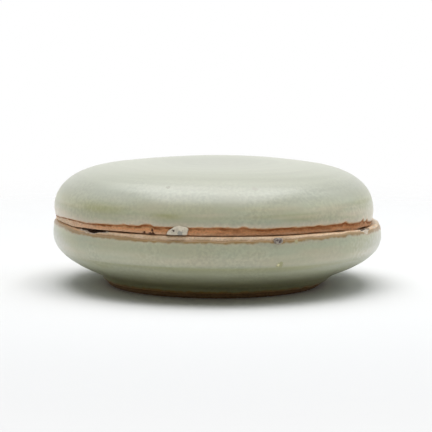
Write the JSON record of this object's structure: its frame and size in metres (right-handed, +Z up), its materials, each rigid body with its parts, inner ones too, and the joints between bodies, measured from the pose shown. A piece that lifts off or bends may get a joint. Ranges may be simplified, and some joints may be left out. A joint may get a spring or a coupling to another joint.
{
  "type": "lidded ceramic box",
  "caption": "Shallow round celadon box on a foot ring, with a domed lift-off cover that rests on the box's flat rim and drops over an upright lip.",
  "frame": {"origin": "centre of the flat face that the foot ring stands on", "axes": "+Z up along the box's axis, -Y towards the viewer of the picture, +X to that viewer's right"},
  "size_m": [0.1296, 0.1296, 0.0485],
  "materials": {
    "celadon_glaze": "grey-green celadon glaze over stoneware, wiped to bare orange-brown clay at the rims and foot",
    "pale_grit": "rough pale kiln grit, partly glazed over",
    "grey_grit": "rough grey kiln grit"
  },
  "bodies": {
    "box": {"box": "celadon_glaze", "rim_kiln_grit": "grey_grit"},
    "cover": {"cover": "celadon_glaze", "cover_kiln_grit": "pale_grit"}
  },
  "joints": [
    {"name": "cover_lift", "type": "slide", "parent": "box", "child": "cover", "axis": [0, 0, 1], "range_m": [0, 0.08]}
  ]
}
